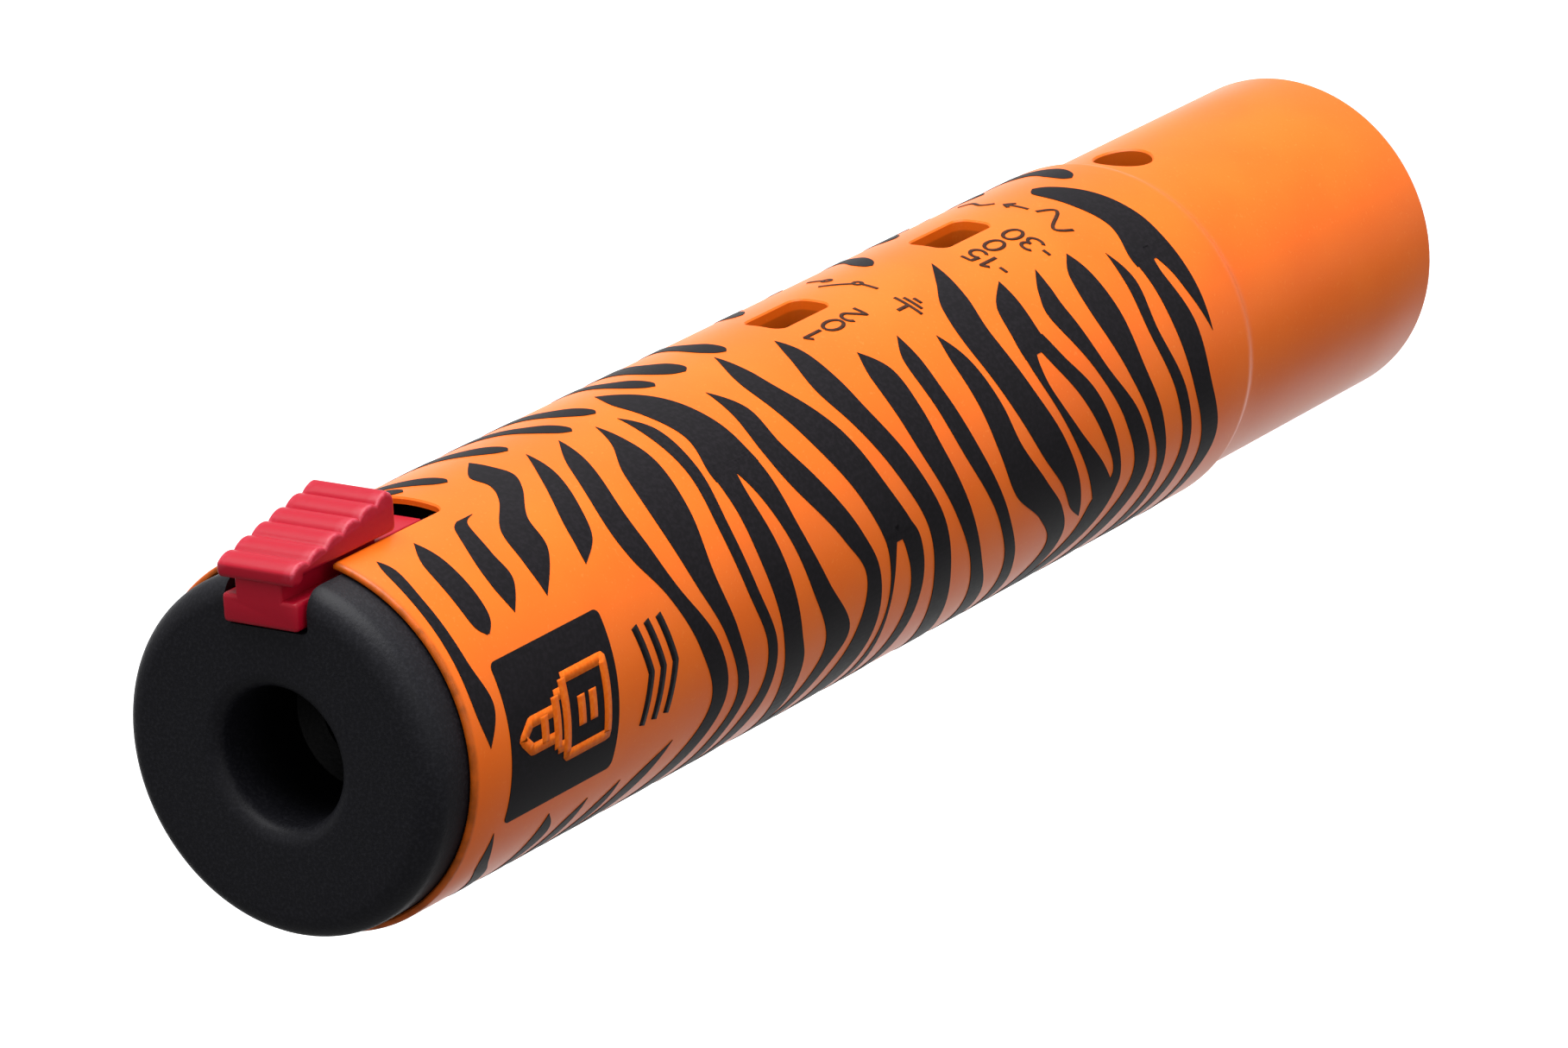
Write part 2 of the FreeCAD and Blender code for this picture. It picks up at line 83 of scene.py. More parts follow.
# %% Camera
target = Vector((46.7, -3.2, 0.1)) * MM
distance = 575.0 * MM
bearing = math.radians(-55.66)
height = math.radians(18.04)
roll = math.radians(-3.22)
away = Vector((
    math.sin(bearing) * math.cos(height),
    -math.cos(bearing) * math.cos(height),
    math.sin(height),
))
camera_data = bpy.data.cameras.new("camera")
camera_data.lens = 207.26
camera_data.sensor_width = 36.0
camera_data.clip_start = 0.01
camera = add_object("camera", camera_data)
camera.location = target + away * distance
facing = (-away).to_track_quat("-Z", "Y")
camera.rotation_mode = "QUATERNION"
camera.rotation_quaternion = facing @ Euler((0, 0, roll)).to_quaternion()
bpy.context.scene.camera = camera
print(f"camera {distance / MM:.0f} mm from {tuple(round(v / MM, 1) for v in target)} mm")

# %% [markdown]
# ## Floor, backdrop and light
# The tube hangs over a grey floor, in front of a lit white backdrop. The backdrop makes the
# pale line along both silhouettes. One large soft panel above lights the top, a weak one at
# the side opens up the shadow side, and the grey surround does the rest.

# %% Floor, backdrop, world and lights
def area_light(name, place, aim, size, power):
    """Square soft light at place (mm), aimed at aim (mm)."""
    data = bpy.data.lights.new(name, "AREA")
    data.shape = "SQUARE"
    data.size = size
    data.energy = power
    lamp = add_object(name, data)
    lamp.location = Vector(place) * MM
    lamp.rotation_mode = "QUATERNION"
    lamp.rotation_quaternion = (Vector(aim) * MM - lamp.location).to_track_quat("-Z", "Y")


def stage_sheet(name, centre, along, up, grey, glow):
    """Flat sheet of the stage, from its centre and its two half sides."""
    mesh = bpy.data.meshes.new(name)
    corners = [centre - along - up, centre + along - up, centre + along + up, centre - along + up]
    mesh.from_pydata(corners, [], [(0, 1, 2, 3)])
    paper = bpy.data.materials.new(name)
    paper.use_nodes = True
    shader = paper.node_tree.nodes["Principled BSDF"]
    shader.inputs["Base Color"].default_value = (grey, grey, grey, 1.0)
    shader.inputs["Roughness"].default_value = 1.0
    shader.inputs["Emission Color"].default_value = (1.0, 1.0, 1.0, 1.0)
    shader.inputs["Emission Strength"].default_value = glow
    mesh.materials.append(paper)
    add_object(name, mesh)


floor_place = Vector((0, 0, -0.8))
stage_sheet("floor", floor_place, along=Vector((6, 0, 0)), up=Vector((0, 6, 0)), grey=0.3, glow=0.0)
sideways = away.cross(Vector((0, 0, 1))).normalized()
behind = target - away * 0.9
stage_sheet("backdrop", behind, along=sideways * 0.7, up=away.cross(sideways) * 0.4, grey=0.8, glow=1.05)

world = bpy.data.worlds.new("studio")
world.use_nodes = True
world.node_tree.nodes["Background"].inputs["Color"].default_value = (1.0, 1.0, 1.0, 1.0)
world.node_tree.nodes["Background"].inputs["Strength"].default_value = 0.55
bpy.context.scene.world = world
bpy.context.scene.view_settings.view_transform = "Standard"
area_light("top_panel", place=(30, 10, 420), aim=(50, 0, 0), size=0.42, power=3.3)
area_light("side_panel", place=(-60, -420, 160), aim=(50, 0, 0), size=0.3, power=0.2)
print("two panels, a grey surround, a floor and a backdrop")

# %% [markdown]
# ## Writing node trees as sums
# A material is a net of small nodes, and most of them only add or multiply. The class below
# wraps one socket, so that `1 - mask` or `base * 0.9` makes the Math node it needs. Every
# other node comes from its one method `node`, which takes the node's type, its settings and
# what goes into its sockets. The geometry nodes further down are written in the same way.

# %% A socket that can be added and multiplied
class Wire:
    def __init__(self, tree, socket=None):
        self.tree = tree
        self.socket = socket

    def node(self, kind, settings=None, sockets=None, output=0):
        made = self.tree.nodes.new(kind)
        for name, value in (settings or {}).items():
            setattr(made, name, value)
        for name, value in (sockets or {}).items():
            if isinstance(value, Wire):
                self.tree.links.new(value.socket, made.inputs[name])
            else:
                made.inputs[name].default_value = value
        return Wire(self.tree, made.outputs[output])

    def math(self, operation, other=0.0):
        settings = {"operation": operation}
        return self.node("ShaderNodeMath", settings, {0: self, 1: other})

    def __add__(self, other):
        return self.math("ADD", other)

    def __mul__(self, other):
        return self.math("MULTIPLY", other)

    def __rsub__(self, other):
        return self.node("ShaderNodeMath", {"operation": "SUBTRACT"}, {0: other, 1: self})

    __radd__ = __add__

    def step(self, low, high):
        """0 below low, 1 above high, smooth between."""
        settings = {"interpolation_type": "SMOOTHSTEP"}
        return self.node("ShaderNodeMapRange", settings, {0: self, 1: low, 2: high, 3: 0.0, 4: 1.0})

    def mix(self, first, second):
        """Colour mix, with this wire as the factor."""
        return self.node("ShaderNodeMix", {"data_type": "RGBA"}, {0: self, 6: first, 7: second}, output=2)

    def axes(self):
        """The x, y and z of a vector."""
        return [self.node("ShaderNodeSeparateXYZ", sockets={0: self}, output=i) for i in range(3)]


print("sockets can be added and multiplied")

# %% [markdown]
# ## One class for every finish
# A finish is a Principled shader with its patterns. The patterns are worked out from the
# object's own coordinates in metres, so a grain size means the same on every piece.

# %% A finish and its patterns
class Finish:
    """One material, with helpers that make patterns and feed the shader's sockets."""

    def __init__(self, name, roughness=0.5, metallic=0.0, **constants):
        self.material = bpy.data.materials.new(name)
        self.material.use_nodes = True
        self.tree = self.material.node_tree
        self.shader = self.tree.nodes["Principled BSDF"]
        self.shader.inputs["Roughness"].default_value = roughness
        self.shader.inputs["Metallic"].default_value = metallic
        for name, value in constants.items():
            self.shader.inputs[name.replace("_", " ")].default_value = value
        self.place = Wire(self.tree).node("ShaderNodeTexCoord", output=3)

    def noise(self, grain, detail=2.0, stretch=(1, 1, 1)):
        """Noise whose features are about `grain` millimetres across."""
        place = self.place.node("ShaderNodeMapping", sockets={"Vector": self.place, "Scale": stretch})
        sockets = {"Vector": place, "Scale": 1 / (grain * MM), "Detail": detail}
        return place.node("ShaderNodeTexNoise", sockets=sockets)

    def bump(self, height, depth, strength=1.0):
        """Relief `depth` millimetres deep."""
        sockets = {"Height": height, "Distance": depth * MM, "Strength": strength}
        self.feed("Normal", height.node("ShaderNodeBump", sockets=sockets))

    def feed(self, name, wire):
        self.tree.links.new(wire.socket, self.shader.inputs[name])

    def colour(self, wire):
        self.feed("Base Color", wire)


def rgb(red, green, blue):
    """Linear colour from the 0 to 255 values that a paint chip is quoted in."""
    def linear(value):
        value = value / 255
        return value / 12.92 if value <= 0.04045 else ((value + 0.055) / 1.055) ** 2.4
    return (linear(red), linear(green), linear(blue), 1.0)


print("finishes can be made")

# %% [markdown]
# ## Orange paint
# The tube is sprayed in a satin orange. Real spray paint is not one colour: it is a little
# thinner and darker on sharp edges, has a very fine orange-peel relief, and its gloss
# changes slightly from place to place. The connector's cavity is left as dark bare metal.

# %% Orange paint
def orange_paint():
    gloss = {"Specular_IOR_Level": 0.28, "Coat_Weight": 0.08, "Coat_Roughness": 0.3}
    paint = Finish("orange_paint", roughness=0.36, **gloss)
    x, y, z = paint.place.axes()
    clouds = paint.noise(9.0, 3.0)
    speckle = paint.noise(0.25, 1.0)
    body = clouds.step(0.3, 0.7).mix(rgb(243, 107, 14), rgb(247, 114, 20))
    body = (speckle.step(0.62, 0.8) * 0.25).mix(body, rgb(255, 150, 70))
    radius = (y * y + z * z).math("SQRT")
    # the bare cavity: inside the tube wall and past the connector's insert
    cavity = (1 - radius.step(8.9 * MM, 9.4 * MM)) * x.step(TUBE_END - 16 * MM, TUBE_END - 15.5 * MM)
    body = cavity.mix(body, rgb(96, 92, 88))
    jack_rim = 1 - x.math("ABSOLUTE").step(0.15 * MM, 0.55 * MM)
    pin_rim = x.step(TUBE_END - 0.5 * MM, TUBE_END - 0.1 * MM)
    rims = jack_rim + pin_rim
    brown_share = rims.math("MINIMUM", 1.0) * (0.45 + paint.noise(1.1, 3.0).step(0.4, 0.7) * 0.4)
    # the walls of the openings and the inside of the tube wall are made darker brown-orange
    walls = (1 - radius.step(11.2 * MM, 11.37 * MM)) * (1 - cavity)
    brown_share = brown_share.math("MAXIMUM", walls * 0.5)
    paint.colour(brown_share.mix(body, rgb(150, 72, 8)))
    paint.feed("Roughness", 0.33 + clouds * 0.08 + speckle * 0.04)
    paint.bump(paint.noise(0.8, 2.0) * 0.7 + speckle * 0.3, 0.012, 0.6)
    return paint.material


paint = orange_paint()
print("made", paint.name)

# %% [markdown]
# ## Printed ink
# The stripes are screen-printed in a thin, nearly black ink with a duller surface than the
# paint. The figures are in a browner ink, and the plug sign is in the paint's orange.

# %% Ink
def printed_ink(name, colour, dust):
    ink = Finish(name, roughness=0.5, Specular_IOR_Level=0.09)
    fine = ink.noise(0.3, 2.0)
    ink.colour(fine.step(0.35, 0.75).mix(colour, dust))
    ink.feed("Roughness", 0.42 + fine * 0.16)
    ink.bump(fine, 0.006, 0.5)
    return ink.material


black_ink = printed_ink("black_ink", rgb(22, 20, 23), rgb(31, 28, 32))
mark_ink = printed_ink("mark_ink", rgb(58, 34, 24), rgb(74, 46, 34))
orange_ink = printed_ink("orange_ink", rgb(236, 104, 18), rgb(244, 122, 34))
print("inks", black_ink.name, mark_ink.name, orange_ink.name)

# %% [markdown]
# ## Moulded plastics
# The nose is glass-filled nylon with the fine grain of a sparked mould, and deeper in the bore
# it is painted nearly black as painted shade. The slider is a smoother red plastic, pale at the
# ends of its ribs, partly from rubbed wear and partly as a painted highlight.

# %% Black and red plastic
def black_moulding():
    nylon = Finish("black_moulding", roughness=0.5, Specular_IOR_Level=0.2)
    grain = nylon.noise(0.22, 2.0)
    x, y, z = nylon.place.axes()
    # painted shade: the moulding turns nearly black deeper in the bore, where the shade falls
    painted_bore_shade = x.step(-1.5 * MM, 2.5 * MM) * (1 - (y * y + z * z).math("SQRT").step(4.8 * MM, 5.2 * MM))
    skin = grain.step(0.4, 0.8).mix(rgb(21, 21, 26), rgb(34, 34, 39))
    nylon.colour((painted_bore_shade * 0.9).mix(skin, rgb(4, 4, 5)))
    nylon.feed("Roughness", 0.4 + grain * 0.2)
    nylon.bump(grain, 0.03, 0.7)
    return nylon.material


def red_plastic():
    gloss = {"Specular_IOR_Level": 0.3, "Subsurface_Weight": 0.08, "Subsurface_Scale": 0.8 * MM}
    red = Finish("red_plastic", roughness=0.34, **gloss)
    wear_and_highlight = red.place.node("ShaderNodeAttribute", {"attribute_name": "wear_and_highlight"}, output=2)
    fine = red.noise(0.35, 3.0)
    # the pale pink at the rib ends is partly rubbed wear and partly a painted highlight on the rounded
    # edges
    rubbed_and_highlight = wear_and_highlight * (0.35 + fine.step(0.4, 0.65) * 0.65)
    red.colour((rubbed_and_highlight * 0.75).mix(rgb(172, 11, 38), rgb(214, 96, 116)))
    red.feed("Roughness", 0.3 + fine * 0.1 + rubbed_and_highlight * 0.2)
    red.bump(fine, 0.01, 0.5)
    return red.material


nylon = black_moulding()
red = red_plastic()
print("made", nylon.name, red.name)

# %% [markdown]
# ## Metals and inner parts
# What sits inside is seen only through the windows and in the connector. Each kind of part
# has its own finish, and parts of the same kind share one.

# %% Small finishes
def metal(name, colour, roughness, grain=(1, 1, 1), tarnish=None):
    """Bare metal with fine drawn lines along one axis and a little tarnish."""
    made = Finish(name, roughness=roughness, metallic=1.0)
    lines = made.noise(0.15, 2.0, stretch=grain)
    stain = made.noise(2.5, 3.0).step(0.45, 0.8)
    made.colour((stain * 0.5).mix(colour, tarnish or colour))
    made.feed("Roughness", roughness + lines * 0.15)
    made.bump(lines, 0.004, 0.5)
    return made.material


def moulded(name, colour, roughness, grain=0.2):
    """Plain moulded or lacquered surface with a fine grain."""
    made = Finish(name, roughness=roughness)
    fine = made.noise(grain, 2.0)
    lighter = tuple(min(1.0, c * 1.35 + 0.004) for c in colour[:3]) + (1.0,)
    made.colour(fine.step(0.35, 0.75).mix(colour, lighter))
    made.feed("Roughness", roughness - 0.06 + fine * 0.14)
    made.bump(fine, 0.01, 0.5)
    return made.material


def board_green():
    """Green solder mask over copper tracks."""
    made = Finish("board_green", roughness=0.35)
    sockets = {"Vector": made.place, "Scale": 1 / (4.5 * MM), "Mortar Size": 0.06, "Mortar Smooth": 0.2}
    tracks = made.place.node("ShaderNodeTexBrick", {"offset": 0.5}, sockets, output=1)
    made.colour(tracks.mix(rgb(16, 74, 40), rgb(40, 120, 62)))
    made.feed("Roughness", 0.32 + made.noise(0.4) * 0.1)
    made.bump(tracks, 0.03, 0.6)
    return made.material


finishes = {
    "jack_cap": nylon,
    "pin_insert": moulded("insert_black", rgb(24, 24, 27), 0.42),
    "sleeve_contact": metal("contact_brass", rgb(214, 186, 120), 0.25, (1, 8, 8), rgb(160, 120, 66)),
    "latch_pawl": metal("latch_steel", rgb(186, 188, 192), 0.32, (8, 1, 8), rgb(130, 130, 134)),
    "lock_screw": metal("screw_black", rgb(58, 56, 56), 0.4, (1, 1, 1), rgb(84, 70, 58)),
    "connector_pin_1": metal("pin_nickel", rgb(222, 220, 212), 0.16, (8, 1, 1), rgb(186, 178, 160)),
    "ground_switch_case": metal("switch_tin", rgb(176, 178, 182), 0.4, (8, 1, 1), rgb(128, 126, 120)),
    "ground_switch_knob": moulded("knob_black", rgb(20, 20, 22), 0.5),
    "transformer": metal("screening_can", rgb(190, 190, 186), 0.3, (1, 8, 8), rgb(140, 140, 138)),
    "capacitors": moulded("capacitor_red", rgb(150, 44, 30), 0.3),
    "resistors": moulded("resistor_blue", rgb(84, 128, 158), 0.4),
    "jack_wires": moulded("wire_grey", rgb(150, 150, 146), 0.5),
    "circuit_board": board_green(),
}
alike = {
    "sleeve_contact": ("ring_contact", "tip_contact"),
    "latch_pawl": ("slider_spring", "latch_pin"),
    "connector_pin_1": ("connector_pin_2", "connector_pin_3"),
    "ground_switch_case": ("pad_switch_case", "switch_pins"),
    "ground_switch_knob": ("pad_switch_knob",),
    "jack_wires": ("pin_wires",),
}
for node, others in alike.items():
    for other in others:
        finishes[other] = finishes[node]
for node, material in finishes.items():
    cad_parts[node].data.materials.clear()
    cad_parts[node].data.materials.append(material)
print(len(finishes), "inner parts have their finish")

# %% [markdown]
# ## Turning a profile
# The tube and the nose are both turned shapes. A profile drawn as (x, radius) points is
# carried round the axis in 256 steps, which is fine enough that no flat shows at the
# outline. Rounded corners in the profile come from one helper that walks an arc.

# %% Turned solids
def arc(centre_x, centre_r, radius, start, end, steps=8):
    """Points on an arc in the profile plane, angles in degrees from +X towards +radius."""
    points = []
    for i in range(steps + 1):
        angle = math.radians(start + (end - start) * i / steps)
        points.append((centre_x + radius * math.cos(angle), centre_r + radius * math.sin(angle)))
    return points


def mesh_object(name, vertices, faces, material):
    """Object from vertices in millimetres, with outward normals and no doubles."""
    mesh = bpy.data.meshes.new(name)
    mesh.from_pydata([Vector(v) * MM for v in vertices], [], faces)
    shaped = bmesh.new()
    shaped.from_mesh(mesh)
    bmesh.ops.remove_doubles(shaped, verts=shaped.verts, dist=1e-7)
    bmesh.ops.recalc_face_normals(shaped, faces=shaped.faces)
    shaped.to_mesh(mesh)
    shaped.free()
    mesh.materials.append(material)
    return add_object(name, mesh)


def turned(name, profile, material, steps=256):
    """Closed ring of profile points (x, radius), carried round the X axis."""
    vertices = []
    for i in range(steps):
        angle = 2 * math.pi * i / steps
        for x, radius in profile:
            vertices.append((x, radius * math.sin(angle), radius * math.cos(angle)))
    count = len(profile)
    faces = []
    for i in range(steps):
        here = i * count
        there = (i + 1) % steps * count
        for j in range(count):
            k = (j + 1) % count
            faces.append((here + j, here + k, there + k, there + j))
    return mesh_object(name, vertices, faces, material)


print("profiles can be turned")

# %% [markdown]
# ## Cutting openings
# An opening is cut with a solid that is stacked from loops of points. The loops that matter
# follow the tube's round surface, and the upper one is a little wider than the lower one,
# so the cut ends in a small flare.

# %% Openings and joins
def rounded_outline(length, width, corner, steps=6, side_steps=8):
    """Points round a rounded rectangle centred on 0, 0, with its straight sides divided."""
    half_length = length / 2 - corner
    half_width = width / 2 - corner
    points = []
    for side_x, side_y, start in ((1, 1, 0), (-1, 1, 90), (-1, -1, 180), (1, -1, 270)):
        points += arc(side_x * half_length, side_y * half_width, corner, start, start + 90, steps)
    filled = []
    for (ax, ay), (bx, by) in zip(points, points[1:] + points[:1]):
        parts = side_steps if math.hypot(bx - ax, by - ay) > 1.0 else 1
        for i in range(parts):
            filled.append((ax + (bx - ax) * i / parts, ay + (by - ay) * i / parts))
    return filled


def stacked(name, loops, material):
    """Closed solid stacked from loops of (x, y, z) points, in mm."""
    vertices = [point for loop in loops for point in loop]
    count = len(loops[0])
    faces = [tuple(range(count))]
    for here in range(0, len(vertices) - count, count):
        there = here + count
        for j in range(count):
            k = (j + 1) % count
            faces.append((here + j, here + k, there + k, there + j))
    faces.append(tuple(range(len(vertices) - count, len(vertices)))[::-1])
    return mesh_object(name, vertices, faces, material)


def on_round(points, radius, x0):
    """Lifts flat outline points (x, y) onto a cylinder of that radius, moved to x0."""
    return [(x0 + x, y, math.sqrt(radius**2 - y**2)) for x, y in points]


def flared_tool(outline, wide, x0, bottom, tight_radius, wide_radius):
    """Cutter that follows the outline up to tight_radius and is wide from wide_radius on."""
    top = 13.0
    return stacked("cutter", [
        [(x0 + x, y, bottom) for x, y in outline],
        on_round(outline, tight_radius, x0),
        on_round(wide, wide_radius, x0),
        [(x0 + x, y, top) for x, y in wide],
    ], paint)


def combine(target_object, tool, operation="DIFFERENCE"):
    """Boolean with an exact solver, applied at once."""
    modifier = target_object.modifiers.new("shape", "BOOLEAN")
    modifier.object = tool
    modifier.operation = operation
    modifier.solver = "EXACT"
    graph = bpy.context.evaluated_depsgraph_get()
    result = bpy.data.meshes.new_from_object(target_object.evaluated_get(graph))
    target_object.modifiers.clear()
    target_object.data = result
    bpy.data.objects.remove(tool)


def smooth(piece, angle=30):
    """Smooth shading that keeps edges sharper than the angle."""
    piece.data.shade_smooth()
    piece.data.set_sharp_from_angle(angle=math.radians(angle))


print("openings can be cut")

# %% [markdown]
# ## The tube
# The profile runs along the outside, over the soft shoulder, round the far rim and back
# along the bores. The slot, the two windows and the screw hole are then cut with tools that
# flare at the top, because a punched and painted opening never has a knife edge.

# %% Tube with its openings
SEAT_DEPTH = 15.0
WINDOW_CENTRES = (53.0, 72.55)
SCREW_X = 94.4


def tube_profile():
    """Outside from the jack end to the pin end, then back along the inside, in mm."""
    radius = RADIUS / MM
    end = TUBE_END / MM
    tail = radius - 0.6
    shoulder = end - 26.3
    bend = 1.9667
    seat = 11.55
    main_bore = 10.4
    main_bore_end = 90.9
    cavity = 8.2
    latch_groove = 8.8
    points = arc(0.25, radius - 0.25, 0.25, 180, 90, 5)
    points += [(x, radius) for x in range(4, int(shoulder) - 1, 5)]
    points += arc(shoulder, radius - bend, bend, 90, 59.5, 6)
    points += arc(shoulder + 2.0, tail + bend, bend, 239.5, 270, 6)
    points += [(x, tail) for x in range(int(shoulder) + 5, int(end) - 2, 5)]
    points += arc(end - 0.6, tail - 0.6, 0.6, 90, 0, 6)
    points += arc(end - 0.4, cavity + 0.4, 0.4, 0, -90, 4)
    points += [(107.5, cavity), (107.5, latch_groove), (105.5, latch_groove), (105.5, cavity)]
    points += [(main_bore_end, cavity), (main_bore_end, main_bore)]
    points += [(SEAT_DEPTH, main_bore), (SEAT_DEPTH, seat), (0.12, seat), (0.0, seat + 0.12)]
    return points


tube = turned("tube", tube_profile(), paint)
flare_start = RADIUS / MM - 0.12
flare_end = RADIUS / MM + 0.03
for centre in WINDOW_CENTRES:
    window = rounded_outline(6.2, 3.0, 0.8)
    window_wide = rounded_outline(6.44, 3.24, 0.92)
    combine(tube, flared_tool(window, window_wide, centre, 9.0, flare_start, flare_end))
# the slot is drawn about the rim, and the half of it that lies outside the tube cuts nothing
slot = rounded_outline(22.8, 5.2, 0.7)
slot_wide = rounded_outline(23.04, 5.44, 0.82)
combine(tube, flared_tool(slot, slot_wide, 0.0, 8.0, flare_start, flare_end))
# the screw hole is in the narrow end, so its flare sits lower
sides = 48
hole = arc(0, 0, 2.0, 0, 360 - 360 / sides, sides - 1)
hole_wide = arc(0, 0, 2.15, 0, 360 - 360 / sides, sides - 1)
combine(tube, flared_tool(hole, hole_wide, SCREW_X, 6.0, RADIUS / MM - 0.75, RADIUS / MM - 0.57))
smooth(tube)
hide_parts("housing_tube")
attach(tube, "housing")
print("tube:", len(tube.data.polygons), "faces")

# %% [markdown]
# ## The nose
# The moulding's outer corner is a generous round, and the mouth of the socket is rounded so
# that a plug finds its way in. The groove for the slider's foot is cut through the top.

# %% Nose with its mouth and groove
def nose_profile():
    """From the mouth over the face and the outer round to the back of the moulding, in mm."""
    face = nose_low.x / MM
    outer = nose_high.y / MM
    jack_depth = 30.0
    chamber = 3.6
    plug_bore = 3.25
    plug_bore_end = 9.2
    mouth = 4.4
    mouth_round = 1.1
    face_round = 1.6
    neck = 10.35
    points = [(jack_depth, chamber), (plug_bore_end, chamber), (plug_bore_end, plug_bore)]
    points += [(5.6, plug_bore), (4.6, mouth)]
    points += arc(face + mouth_round, mouth + mouth_round, mouth_round, 270, 180, 10)
    points += [(face, 6.5), (face, 8.2)]
    points += arc(face + face_round, outer - face_round, face_round, 180, 90, 14)
    points += [(0.0, outer), (8.0, outer), (SEAT_DEPTH, outer), (SEAT_DEPTH, neck), (jack_depth, neck)]
    return points


nose = turned("nose", nose_profile(), nylon)
groove_floor = 8.3
groove_half = 3.05
groove_round = 0.4
groove_top = groove_half + 0.25
groove = [(-groove_top, 13.0), (-groove_top, 11.35), (-groove_half, 10.9)]
groove += [(-groove_half, groove_floor + groove_round)]
groove += arc(-groove_half + groove_round, groove_floor + groove_round, groove_round, 180, 270, 4)
groove += [(-y, z) for y, z in groove[::-1]]
groove_ends = (-6.0, 14.2)
combine(nose, stacked("cutter", [[(x, y, z) for y, z in groove] for x in groove_ends], nylon))
smooth(nose)
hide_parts("jack_nose")
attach(nose, "housing")
print("nose:", len(nose.data.polygons), "faces")

# %% [markdown]
# ## The release slider
# The thumb pad is one wavy side profile, cut into slices across the pad. Near the two sides
# every slice sinks in a little, and that rounds the long edges. The wave is made of round
# crests that meet in narrow valleys. The ribs are pale where they end, partly from rubbed wear
# and partly as a painted highlight on the rounded edges, so each point carries a value that
# the red plastic reads. The web, the tongue behind the pad and the foot are rounded blocks
# that are joined to it.

# %% Slider pad, web and foot
PAD_FRONT = pad_low.x / MM
PAD_REAR = PAD_FRONT + 10.5
PAD_HALF = 5.7 / 2
PAD_BOTTOM = 11.9
PAD_FRONT_TOP = 12.55
PAD_REAR_TOP = 14.7


def crest_height(x, crests=6, depth=0.4):
    """Height of the ribbed top at x, in mm."""
    along = (x - PAD_FRONT) / (PAD_REAR - PAD_FRONT)
    phase = along * crests % 1.0
    wave = abs(math.sin(math.pi * phase)) ** 0.6
    return PAD_FRONT_TOP + (PAD_REAR_TOP - PAD_FRONT_TOP) * along - depth * (1 - wave)


def pad_profile(amount, steps=84):
    """Side outline of the pad as (x, z) in mm, sunk in by amount all round."""
    front = PAD_FRONT + amount
    rear = PAD_REAR - amount
    bottom = PAD_BOTTOM + amount
    rear_round = 0.6
    points = arc(rear - 0.3, bottom + 0.3, 0.3, 270, 360, 4)
    points += arc(rear - rear_round, PAD_REAR_TOP - 0.85 - amount, rear_round, 0, 75, 6)
    last = rear - rear_round
    first = front + 0.22
    for i in range(steps + 1):
        x = last + (first - last) * i / steps
        points.append((x, crest_height(x) - amount))
    # the lip hangs over the front end of the web
    lip_bottom = bottom - 0.5
    points += arc(front + 0.28, crest_height(first) - amount - 0.3, 0.28, 140, 180, 3)
    points += arc(front + 0.32, lip_bottom + 0.32, 0.32, 180, 270, 5)
    points += arc(front + 0.5, lip_bottom + 0.2, 0.2, 270, 350, 3)
    points.append((front + 0.75, bottom))
    return points


def pad():
    """Slices of the profile from side to side, with quarter-round edges."""
    edge = 0.28
    slices = []
    for i in range(6):
        turn = math.radians(18 * i)
        slices.append((-PAD_HALF + edge * (1 - math.cos(turn)), edge * (1 - math.sin(turn))))
    slices += [(-PAD_HALF + 0.9, 0.0), (0.0, 0.0)]
    slices += [(-y, amount) for y, amount in slices[-2::-1]]
    loops = [[(x, y, z) for x, z in pad_profile(amount)] for y, amount in slices]
    return stacked("slider", loops, red)


def rounded_block(x0, x1, half_width, bottom, top, edge):
    """Block about the middle plane with every edge rounded, in mm."""
    shaped = bmesh.new()
    bmesh.ops.create_cube(shaped, size=1.0)
    low = Vector((x0, -half_width, bottom)) * MM
    high = Vector((x1, half_width, top)) * MM
    for vertex in shaped.verts:
        vertex.co = Vector([low[i] + (high[i] - low[i]) * (vertex.co[i] + 0.5) for i in range(3)])
    rounding = {"offset": edge * MM, "segments": 4, "profile": 0.5, "clamp_overlap": True}
    bmesh.ops.bevel(shaped, geom=shaped.edges[:], affect="EDGES", **rounding)
    mesh = bpy.data.meshes.new("block")
    shaped.to_mesh(mesh)
    shaped.free()
    mesh.materials.append(red)
    return add_object("block", mesh)


slider = pad()
web_half = 1.7
web_end = 5.6
foot_front = PAD_FRONT + 0.2
foot_top = 10.4
foot_end = 10.3
web = rounded_block(foot_front, web_end, web_half, foot_top - 0.6, 12.35, edge=0.2)
tongue = rounded_block(web_end - 0.6, foot_end, web_half, foot_top - 0.6, 11.25, edge=0.12)
foot = rounded_block(foot_front, foot_end, 2.75, 8.55, foot_top, edge=0.3)
for block in (web, tongue, foot):
    combine(slider, block, "UNION")
# pale rib ends: partly rubbed wear, partly a painted highlight where the rounded long edges catch the light
wear_and_highlight = slider.data.attributes.new("wear_and_highlight", "FLOAT", "POINT")
for vertex in slider.data.vertices:
    x, y, z = vertex.co / MM
    near_top = max(0.0, 1 - abs(z - crest_height(x) + 0.1) / 0.3)
    near_side = max(0.0, 1 - abs(abs(y) - PAD_HALF + 0.15) / 0.2)
    wear_and_highlight.data[vertex.index].value = near_top * near_side
smooth(slider, 42)
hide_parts("release_slider")
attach(slider, "slider")
print("slider:", len(slider.data.polygons), "faces")

# %% [markdown]
# ## The return spring
# A round wire is wound from the moulding's wall to the slider's foot, with its last turns
# lying close at both ends. The spring has to get shorter when the slider moves.

